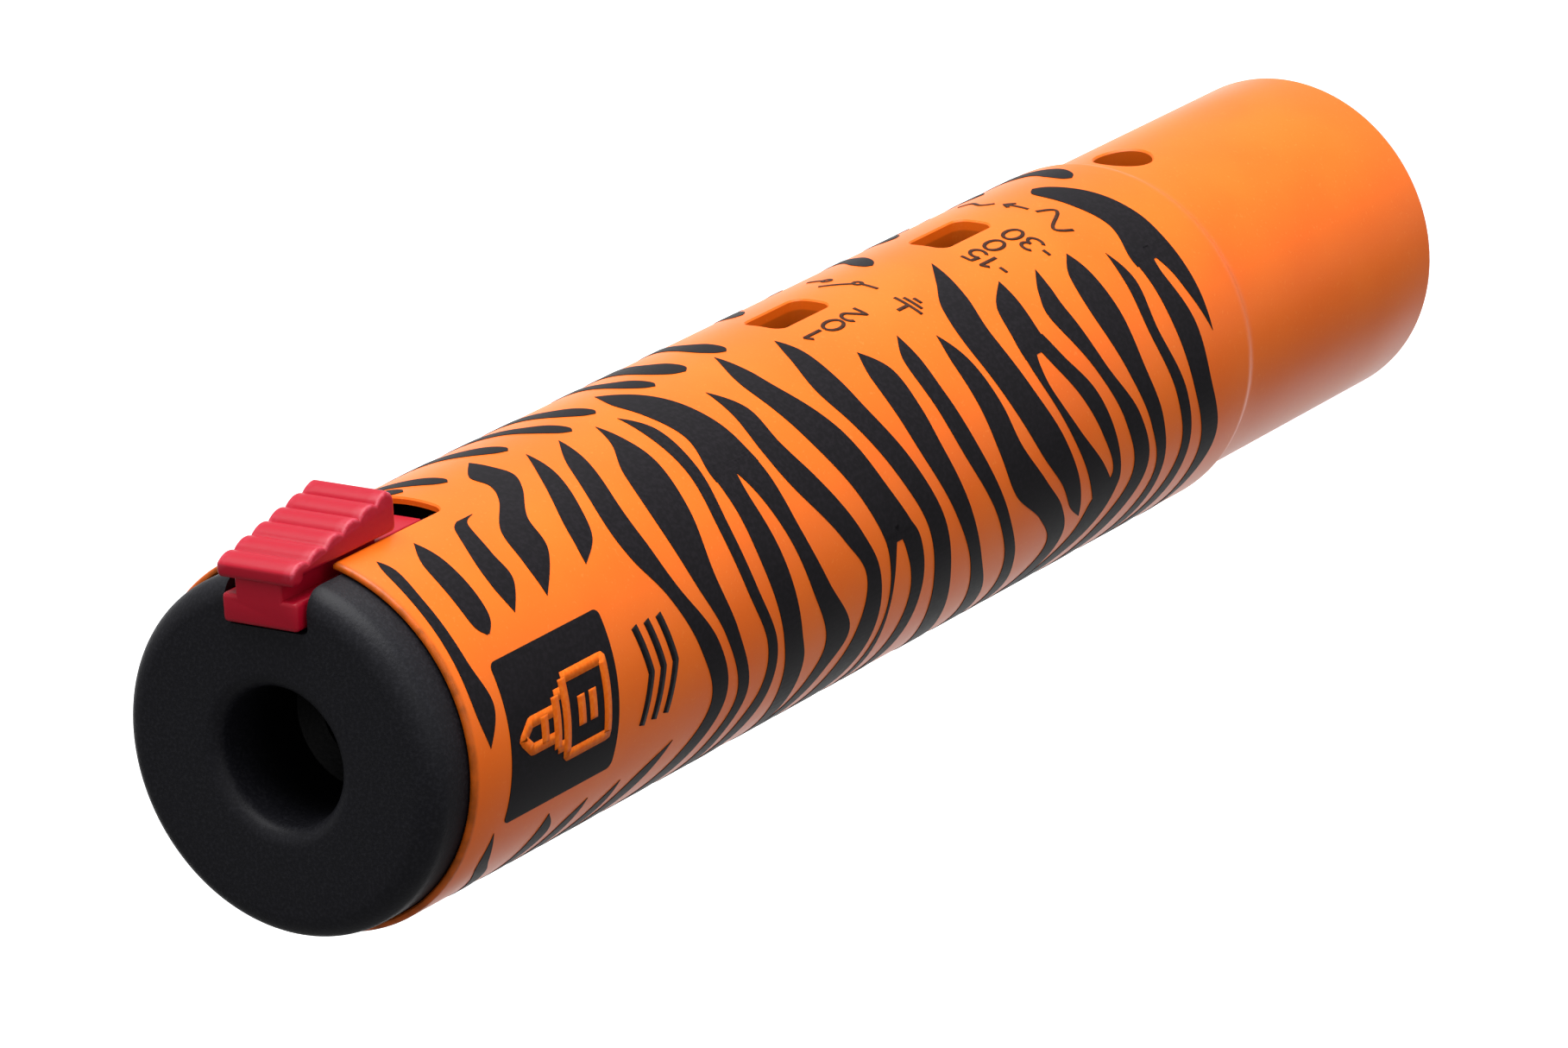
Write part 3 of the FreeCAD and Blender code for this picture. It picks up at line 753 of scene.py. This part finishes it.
# %% Spring behind the foot
def wound_spring(start, end, height, radius, wire, turns=8, sides=10, steps=24):
    """Round wire on a helix about a line parallel to X, in mm, with closed end turns."""
    loops = []
    rows = turns * steps
    for i in range(rows + 1):
        along = i / rows
        turn = 2 * math.pi * turns * along
        closed = along + 0.035 * math.sin(2 * math.pi * along)
        centre = start + wire + (end - start - 2 * wire) * closed
        loop = []
        for j in range(sides):
            around = 2 * math.pi * j / sides
            out = radius + wire * math.cos(around)
            x = centre + wire * math.sin(around)
            loop.append((x, out * math.cos(turn), height + out * math.sin(turn)))
        loops.append(loop)
    return stacked("spring", loops, finishes["slider_spring"])


spring_low, spring_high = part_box("slider_spring")
spring_middle = (spring_low.z + spring_high.z) / 2
spring = wound_spring(
    spring_low.x / MM, spring_high.x / MM, height=spring_middle / MM, radius=0.66, wire=0.13
)
smooth(spring, 60)
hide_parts("slider_spring")
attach(spring, "housing")
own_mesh(spring)

# %% [markdown]
# ## Wrapping flat artwork round the tube
# A screen printer draws flat and the jig rolls the tube past it. The node tree below does
# the same: artwork is drawn flat, with X along the tube and Y round it, and every point is
# rolled onto the tube's radius. The ink then gets its real thickness, and its back is
# closed, so that the print is a thin solid. Artwork made of pen lines is first given the
# pen's width.

# %% Geometry Nodes: pen lines, roll, thickness
def wrap_tree(name, pen):
    """Node tree that rolls flat artwork onto the tube; with pen, it first gives lines a width."""
    tree = bpy.data.node_groups.new(name, "GeometryNodeTree")
    controls = tree.interface
    controls.new_socket("Geometry", in_out="INPUT", socket_type="NodeSocketGeometry")
    lengths = {"Radius": 12.0 * MM, "Thickness": 0.04 * MM, "Lift": 0.0, "Pen width": 0.3 * MM}
    for label, value in lengths.items():
        control = controls.new_socket(label, in_out="INPUT", socket_type="NodeSocketFloat")
        control.default_value = value
    controls.new_socket("Ink", in_out="INPUT", socket_type="NodeSocketMaterial")
    controls.new_socket("Geometry", in_out="OUTPUT", socket_type="NodeSocketGeometry")
    outputs = tree.nodes.new("NodeGroupInput").outputs
    given = {socket.name: Wire(tree, socket) for socket in outputs}
    add = Wire(tree).node

    flat = given["Geometry"]
    if pen:
        half = given["Pen width"] * 0.5
        ends = [add("ShaderNodeCombineXYZ", sockets={0: half * side}) for side in (-1.0, 1.0)]
        nib = add("GeometryNodeCurvePrimitiveLine", sockets={"Start": ends[0], "End": ends[1]})
        lines = add("GeometryNodeMeshToCurve", sockets={"Mesh": flat})
        spacing = {"Curve": lines, "Length": 0.15 * MM}
        lines = add("GeometryNodeResampleCurve", {"mode": "LENGTH"}, spacing)
        flat = add("GeometryNodeCurveToMesh", sockets={"Curve": lines, "Profile Curve": nib})
    x, across, _ = add("GeometryNodeInputPosition").axes()
    level = given["Radius"] + given["Lift"]
    turn = across.math("DIVIDE", given["Radius"])
    side = level * turn.math("SINE") * -1.0
    up = level * turn.math("COSINE")
    rolled = add("ShaderNodeCombineXYZ", sockets={0: x, 1: side, 2: up})
    skin = add("GeometryNodeSetPosition", sockets={"Geometry": flat, "Position": rolled})
    # a face whose normal points to the axis is turned over, so that the ink grows outwards
    normal = add("GeometryNodeInputNormal")
    _, now_y, now_z = add("GeometryNodeInputPosition").axes()
    radial = add("ShaderNodeCombineXYZ", sockets={1: now_y, 2: now_z})
    product = {"operation": "DOT_PRODUCT"}
    facing = add("ShaderNodeVectorMath", product, {0: normal, 1: radial}, output=1)
    inward = add("FunctionNodeCompare", {"operation": "LESS_THAN"}, {0: facing, 1: 0.0})
    skin = add("GeometryNodeFlipFaces", sockets={"Mesh": skin, "Selection": inward})
    growth = {"Mesh": skin, "Offset Scale": given["Thickness"], "Individual": False}
    raised = add("GeometryNodeExtrudeMesh", sockets=growth)
    back = add("GeometryNodeFlipFaces", sockets={"Mesh": skin})
    both = add("GeometryNodeJoinGeometry")
    for part in (raised, back):
        tree.links.new(part.socket, both.socket.node.inputs[0])
    welded = add("GeometryNodeMergeByDistance", sockets={"Geometry": both, "Distance": 1e-6})
    inked = add("GeometryNodeSetMaterial", sockets={"Geometry": welded, "Material": given["Ink"]})
    tree.links.new(inked.socket, tree.nodes.new("NodeGroupOutput").inputs["Geometry"])
    return tree


rolled_print = wrap_tree("rolled_print", pen=False)
rolled_pen = wrap_tree("rolled_pen", pen=True)
print("trees:", rolled_print.name, rolled_pen.name)

# %% [markdown]
# ## Tiger stripes
# Each stripe is described as a painter would rule it off: a few marks down the tube's side,
# each with the angle from the top in degrees and the stripe's two edges in millimetres from
# the jack end. A mark with one number after the angle is a tip, where both edges meet. A
# forked stripe is a short trunk, with two branches that start inside its lower end.

# %% Marks of the front stripes
FRONT_STRIPES = [
    [(20, 2.3), (26, 1.7, 2.6), (40, 1.2, 2.1), (60, 1.0, 2.1), (75, 1.1, 2.9), (86, 1.8)],
    [(20, 6.1), (30, 4.6, 6.4), (50, 4.2, 6.1), (56, 4.9, 5.2)],
    [(20, 10.5, 12.2), (23, 9.6, 10.9), (35, 8.3, 10.1), (45, 7.9, 9.9), (54, 8.2)],
    [(-3, 18.6), (5, 16.3, 18.6), (13, 16.1, 18.6), (20, 15.0, 17.5), (30, 12.4, 15.2), (42, 11.7, 14.3),
     (54, 11.6)],
    [(7, 21.7), (20, 19.5, 21.0), (35, 17.4, 19.5), (45, 16.6, 18.3), (51, 16.3)],
    [(8, 24.9), (20, 22.4, 24.1), (40, 20.3, 22.4), (55, 20.2, 22.3), (70, 21.9, 23.2), (90, 24.1, 26.0),
     (110, 25.8, 27.5), (130, 24.0, 26.3), (150, 21.5, 24.2), (172, 20.2)],
    [(10, 28.3), (20, 27.1, 28.4), (32, 25.1, 28.4), (50, 24.2, 27.6), (70, 24.8, 26.9), (90, 26.9, 28.2),
     (112, 28.9, 30.1), (130, 28.1, 29.6), (150, 27.2, 29.4), (166, 27.4)],
    [(11, 30.4), (22, 30.1, 31.3), (40, 29.8, 30.9), (60, 29.1, 30.1), (80, 29.7, 30.7),
     (100, 31.6, 32.6), (115, 31.9, 33.1), (130, 31.0, 32.8), (160, 29.8, 31.2), (176, 29.4)],
    [(-6, 33.1), (4, 32.0, 34.4), (15, 32.1, 35.3), (30, 32.4, 35.9), (42, 31.5, 36.0), (47, 31.4, 36.1)],
    [(42, 31.5, 33.9), (55, 31.5, 33.3), (75, 31.8, 34.0), (100, 33.4, 35.4), (115, 34.4, 36.6),
     (140, 35.5, 37.1), (165, 35.9)],
    [(42, 33.0, 36.0), (50, 33.8, 36.1), (70, 35.1, 36.5), (90, 36.6, 38.4), (110, 38.8, 41.5),
     (125, 38.4, 40.2), (150, 36.9, 38.4), (170, 36.6)],
    [(18, 38.1), (30, 37.6, 39.2), (45, 37.0, 39.0), (60, 37.7, 40.2), (80, 40.6, 42.6), (95, 42.8, 44.3),
     (115, 42.5, 45.0), (135, 41.3, 44.5), (160, 40.2, 42.6), (184, 40.2)],
    [(5, 43.1), (18, 41.3, 43.0), (30, 40.9, 43.2), (50, 41.6, 44.8), (70, 43.4, 46.3), (86, 45.0, 48.3),
     (89, 45.2, 48.7)],
    [(84, 44.8, 46.7), (92, 45.4, 46.2), (110, 45.9, 46.2), (140, 45.9, 46.8), (160, 46.2)],
    [(84, 46.2, 48.0), (92, 47.3, 49.1), (110, 48.5, 49.9), (140, 48.3, 49.8), (168, 47.2)],
    [(11, 48.1), (20, 46.9, 48.4), (35, 45.6, 48.2), (50, 46.2, 48.4), (70, 47.9, 50.0), (90, 50.1, 52.0),
     (110, 51.4, 53.4), (130, 52.8, 55.2), (150, 54.6, 56.9), (174, 57.0)],
    [(30, 51.9), (40, 50.8, 53.1), (55, 50.6, 53.1), (70, 51.2, 53.4), (90, 53.3, 55.0),
     (110, 55.8, 57.1), (130, 57.9, 59.9), (150, 59.0, 61.0), (178, 59.6)],
    [(31, 56.3), (40, 54.7, 56.2), (55, 54.5, 56.1), (75, 55.4, 57.1), (100, 58.6, 59.8),
     (120, 61.0, 62.3), (140, 62.2, 63.8), (168, 62.4)],
    [(37, 59.3), (48, 58.6, 60.2), (65, 58.7, 60.9), (80, 59.2, 61.7), (95, 60.6, 64.2),
     (108, 64.1, 66.8), (122, 66.5, 68.4), (140, 65.5, 67.6), (164, 64.2)],
    [(11, 66.7), (20, 64.4, 65.9), (30, 62.1, 65.0), (45, 61.0, 63.9), (65, 61.7, 64.6), (85, 63.7, 66.7),
     (100, 66.4, 68.4), (110, 68.0, 69.3), (116, 69.7)],
    [(30, 68.9), (38, 66.4, 68.7), (50, 65.5, 68.3), (57, 65.4, 68.4)],
    [(52, 65.5, 67.3), (60, 65.5, 66.5), (70, 66.1, 66.7), (85, 67.6, 68.6), (100, 69.5, 71.5),
     (112, 71.0, 73.6)],
    [(52, 66.9, 68.4), (62, 67.8, 69.3), (75, 69.5, 71.2), (90, 71.3, 72.7), (105, 72.9, 73.9),
     (112, 70.9, 73.9), (125, 70.0, 72.8), (145, 67.4, 69.6), (172, 66.6)],
    [(32, 72.8), (40, 71.0, 72.4), (50, 70.2, 72.2), (70, 72.0, 73.2), (90, 74.2, 76.0),
     (110, 75.8, 77.7), (130, 73.8, 76.2), (150, 72.2, 74.0), (166, 72.2)],
    [(32, 76.7), (40, 74.9, 77.0), (55, 74.3, 77.1), (75, 75.4, 77.3), (95, 77.4, 78.9),
     (115, 79.1, 80.1), (140, 78.0, 79.6), (176, 76.9)],
    [(38, 79.9), (50, 79.4, 80.5), (68, 79.1, 80.1), (90, 80.7, 81.9), (110, 82.0, 83.1),
     (130, 81.4, 83.0), (150, 80.0, 81.8), (170, 79.8)],
    [(-2, 83.5), (2, 82.4, 84.4), (15, 82.5, 85.6), (30, 82.8, 86.2), (42, 81.7, 86.2), (47, 81.6, 86.2)],
    [(42, 81.7, 84.1), (52, 81.8, 83.5), (70, 82.0, 84.4), (90, 82.9, 85.0), (112, 84.8, 86.8),
     (130, 85.1, 86.3), (156, 85.0)],
    [(42, 83.5, 86.2), (52, 84.4, 86.2), (62, 85.0, 86.2), (76, 86.1)],
    [(115, 3.0), (128, 3.0, 4.2), (140, 4.2, 5.6), (170, 6.4)],
    [(120, 9.4), (130, 8.9, 10.7), (145, 8.3, 9.6), (176, 8.0)],
    [(123, 13.9), (132, 12.1, 13.6), (150, 11.0, 12.6), (172, 10.6)],
    [(123, 17.4), (132, 15.6, 17.1), (150, 14.0, 15.7), (180, 13.6)],
    [(117, 22.3), (127, 19.2, 21.2), (145, 17.0, 19.0), (166, 16.6)],
]
print(len(FRONT_STRIPES), "stripes are marked out")

# %% [markdown]
# ## Drawing and rolling a stripe
# Smooth curves run through the marks of a stripe and become a strip of flat faces. All
# stripes of one print are rolled onto the tube together.

# %% Stripes on the front
def spline(values, t):
    """Catmull-Rom value between the middle two of four values."""
    p, q, r, s = values
    bend = 2 * p - 5 * q + 4 * r - s
    return 0.5 * (2 * q + (r - p) * t + bend * t * t + (3 * q - p - 3 * r + s) * t**3)


def through(marks, steps=10):
    """Smooth curve through the marks, with `steps` pieces between neighbours."""
    padded = [marks[0], *marks, marks[-1]]
    curve = []
    for i in range(1, len(padded) - 2):
        neighbours = list(zip(*padded[i - 1:i + 3]))
        for j in range(steps):
            curve.append([spline(values, j / steps) for values in neighbours])
    curve.append(list(marks[-1]))
    return curve


def stripe_faces(marks, vertices, faces):
    """Adds one stripe to flat artwork, in mm: X along the tube, Y round it."""
    rows = through([(mark[0], mark[1], mark[-1]) for mark in marks])
    for angle, left, right in rows:
        across = math.radians(angle) * RADIUS / MM
        middle = (left + right) / 2
        half = max((right - left) / 2, 0.0)
        vertices.append((middle - half, across, 0.0))
        vertices.append((middle + half, across, 0.0))
    first = len(vertices) - 2 * len(rows)
    for i in range(len(rows) - 1):
        a = first + 2 * i
        faces.append((a, a + 1, a + 3, a + 2))


def flat_art(name, stripes):
    """Flat artwork made of filled stripes."""
    vertices = []
    faces = []
    for marks in stripes:
        stripe_faces(marks, vertices, faces)
    # a tip is a face with one side of no length, and that side goes
    mesh = bpy.data.meshes.new(name)
    mesh.from_pydata([Vector(v) * MM for v in vertices], [], faces)
    shaped = bmesh.new()
    shaped.from_mesh(mesh)
    bmesh.ops.dissolve_degenerate(shaped, dist=1e-7, edges=shaped.edges)
    bmesh.ops.recalc_face_normals(shaped, faces=shaped.faces)
    shaped.to_mesh(mesh)
    shaped.free()
    return add_object(name, mesh)


def roll_on(art, tree, ink, **inputs):
    """Rolls flat artwork onto the tube and leaves a plain mesh that rides on the housing."""
    modifier = art.modifiers.new("roll", "NODES")
    modifier.node_group = tree
    values = {"Radius": RADIUS, "Thickness": 0.04 * MM, "Ink": ink, **inputs}
    for item in tree.interface.items_tree:
        if item.in_out == "INPUT" and item.name in values:
            modifier[item.identifier] = values[item.name]
    bpy.context.view_layer.update()
    graph = bpy.context.evaluated_depsgraph_get()
    mesh = bpy.data.meshes.new_from_object(art.evaluated_get(graph))
    name = art.name
    bpy.data.objects.remove(art)
    printed = add_object(name, mesh)
    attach(printed, "housing")
    print(f"{name}: {len(mesh.polygons)} faces")


roll_on(flat_art("stripes_front", FRONT_STRIPES), rolled_print, black_ink)

# %% [markdown]
# ## Stripes over the top and round the back
# The far side goes on in the same manner, so a rule can draw it. Every stripe starts as a
# tip near the top and runs down the back to the bottom. One smooth sway, shared by all of
# them and changing slowly along the tube, keeps neighbours from crossing. Chance, with a
# fixed seed, only sets the widths and the lengths.

# %% Stripes on the back
# place along the tube in mm and angle from the top in degrees, of each tip
BACK_TIPS = [
    (9.0, -38), (12.3, -5), (14.9, 2), (18.3, -30), (21.6, 1), (26.7, 7), (30.2, 4), (33.4, -34), (36.5, 5),
    (39.9, 5), (44.5, 5), (48.2, -36), (52.6, -15), (56.6, -30), (60.2, -26), (64.2, -3), (68.0, -30),
    (71.8, -18), (75.6, -26), (79.4, -30), (83.2, -20), (86.9, 3), (5.2, -50),
]


def sway(x, angle):
    """How far a stripe at x has moved along the tube when it reaches this angle, in mm."""
    turn = math.radians(-angle)
    slow = 0.045 * x
    return -2.3 * math.sin(1.5 * turn + slow) + 1.2 * math.sin(3.1 * turn + 1.7 * slow + 0.6)


def back_stripe(x, start, chance):
    """Marks of one stripe, from its tip round the back."""
    end = chance.uniform(-178, -160)
    width = chance.uniform(1.6, 2.5)
    marks = [(start, x, x)]
    for drop, share in ((2.5, 0.36), (9, 0.52)):
        middle = x + sway(x, start - drop) - sway(x, start)
        marks.append((start - drop, middle - width * share, middle + width * share))
    steps = 9
    for i in range(1, steps):
        along = i / steps
        angle = start + (end - start) * along
        middle = x + sway(x, angle) - sway(x, start)
        swell = math.sin(math.pi * along**0.7) ** 0.45
        half = width * swell * chance.uniform(0.8, 1.15) / 2
        marks.append((angle, middle - half, middle + half))
    middle = x + sway(x, end) - sway(x, start)
    marks.append((end, middle, middle))
    return marks


chance = random.Random(7)
back_stripes = [back_stripe(x, angle, chance) for x, angle in BACK_TIPS]
roll_on(flat_art("stripes_back", back_stripes), rolled_print, black_ink)

# %% [markdown]
# ## The printed panel
# A black panel with rounded corners sits on the lower side, with a sign for a jack plug in
# the paint's orange. Three arrowheads next to it show which way the signal runs.

# %% Panel, plug sign and arrowheads
def panel_rows(left, right, low_angle, high_angle, corner):
    """Marks of a rounded rectangle, in the same form as a stripe."""
    rows = []
    bend = math.degrees(corner * MM / RADIUS)
    for i in range(9):
        turn = math.radians(90 * i / 8)
        cut = corner * (1 - math.sin(turn))
        rows.append((low_angle + bend * (1 - math.cos(turn)), left + cut, right - cut))
    straight = high_angle - low_angle - 2 * bend
    rows += [(low_angle + bend + straight * i / 10, left, right) for i in range(1, 10)]
    rows += [(low_angle + high_angle - angle, a, b) for angle, a, b in rows[8::-1]]
    return rows


def pen_art(name, strokes):
    """Flat artwork made of pen lines, each a list of (x, round) points in mm."""
    vertices = []
    edges = []
    for stroke in strokes:
        first = len(vertices)
        vertices += [Vector((x, around, 0.0)) * MM for x, around in stroke]
        edges += [(i, i + 1) for i in range(first, len(vertices) - 1)]
    mesh = bpy.data.meshes.new(name)
    mesh.from_pydata(vertices, edges, [])
    return add_object(name, mesh)


panel = panel_rows(left=3.8, right=15.1, low_angle=63.5, high_angle=113.5, corner=0.5)
roll_on(flat_art("panel", [panel]), rolled_print, black_ink)
plug_grip = [(9.6, 16.1), (13.9, 16.1), (13.9, 21.0), (9.6, 21.0), (9.6, 16.1)]
plug_collar = [[(8.6, 16.9), (8.6, 20.2)], [(9.6, 16.9), (8.6, 16.9)], [(9.6, 20.2), (8.6, 20.2)]]
plug_shank = [(8.6, 17.7), (5.9, 17.7), (5.0, 18.55), (5.9, 19.4), (8.6, 19.4)]
plug_bands = [[(7.3, 17.7), (7.3, 19.4)], [(11.2, 17.6), (11.2, 19.5)], [(12.4, 17.6), (12.4, 19.5)]]
plug = [plug_grip, *plug_collar, plug_shank, *plug_bands]
roll_on(pen_art("plug_sign", plug), rolled_pen, orange_ink, **{"Pen width": 0.75 * MM, "Lift": 0.03 * MM})
arrowheads = [[(17.8 + 1.3 * i, 15.4), (18.7 + 1.3 * i, 18.6), (17.8 + 1.3 * i, 21.8)] for i in range(3)]
roll_on(pen_art("arrowheads", arrowheads), rolled_pen, black_ink, **{"Pen width": 0.6 * MM})

# %% [markdown]
# ## Numbers and signs at the switches
# The figures are drawn as pen strokes in a cell one unit high, with `g` along the line of
# writing and `h` upwards. On the tube the tops point to the jack end, and the writing runs
# from the front over the top. Next to each row of figures stands a sign: earth and an open
# contact for one switch, a wave that gets smaller for the other.

# %% Figures and signs
def bow(g, h, radius_g, radius_h, start, end, steps=16):
    """Part of an ellipse as a pen stroke."""
    stroke = []
    for i in range(steps + 1):
        angle = math.radians(start + (end - start) * i / steps)
        stroke.append((g + radius_g * math.cos(angle), h + radius_h * math.sin(angle)))
    return stroke


def ripple(start, length, height, steps=20):
    """One wave about the middle of the cell."""
    stroke = []
    for i in range(steps + 1):
        along = i / steps
        stroke.append((start + length * along, 0.5 + height * math.sin(2 * math.pi * along)))
    return stroke


# each figure: its advance, then its strokes
FIGURES = {
    "0": (0.78, [bow(0.3, 0.5, 0.28, 0.5, 90, 450)]),
    "1": (0.55, [[(0.05, 0.76), (0.3, 1.0), (0.3, 0.0)]]),
    "2": (0.78, [bow(0.3, 0.72, 0.27, 0.28, 165, -30) + [(0.02, 0.0), (0.6, 0.0)]]),
    "3": (0.78, [bow(0.27, 0.75, 0.25, 0.25, 150, -80), bow(0.27, 0.26, 0.3, 0.26, 80, -150)]),
    "5": (0.78, [[(0.55, 1.0), (0.14, 1.0), (0.08, 0.55)], bow(0.28, 0.32, 0.28, 0.32, 135, -145)]),
    "-": (0.5, [[(0.02, 0.42), (0.34, 0.42)]]),
}
EARTH = [
    [(0.45, 1.0), (0.45, 0.5)], [(0.0, 0.5), (0.9, 0.5)],
    [(0.15, 0.28), (0.75, 0.28)], [(0.32, 0.06), (0.58, 0.06)],
]
CONTACT = [
    [(1.2, 0.4), (1.7, 0.4)], bow(1.82, 0.4, 0.12, 0.12, 0, 360), [(1.9, 0.5), (2.65, 1.0)],
    bow(2.78, 0.4, 0.12, 0.12, 0, 360), [(2.9, 0.4), (3.4, 0.4)],
]
SMALLER = [
    ripple(0.0, 1.2, 0.5), [(1.45, 0.5), (2.2, 0.5)],
    [(1.95, 0.7), (2.2, 0.5), (1.95, 0.3)], ripple(2.5, 1.2, 0.17),
]
FIGURE_SIZE = 1.9
SIGN_SIZE = 2.5


def placed(strokes, base, start, size):
    """Strokes in cell units, put on the tube: base is the line they stand on, in mm."""
    return [[(base - h * size, start - g * size) for g, h in stroke] for stroke in strokes]


def written(text, base, start):
    """Strokes of a row of figures."""
    strokes = []
    for character in text:
        advance, figure = FIGURES[character]
        strokes += placed(figure, base, start, FIGURE_SIZE)
        start -= advance * FIGURE_SIZE
    return strokes


marks = written("1", 51.9, 3.9) + written("0", 54.2, 4.0) + written("2", 56.5, 4.0)
marks += written("-15", 71.2, 6.0) + written("0", 73.6, 4.0) + written("-30", 76.1, 6.3)
marks += placed(EARTH, 61.4, 5.9, SIGN_SIZE) + placed(CONTACT, 61.4, 5.2, SIGN_SIZE)
marks += placed(SMALLER, 80.9, 5.3, SIGN_SIZE)
roll_on(pen_art("figures", marks), rolled_pen, mark_ink, **{"Pen width": 0.27 * MM})
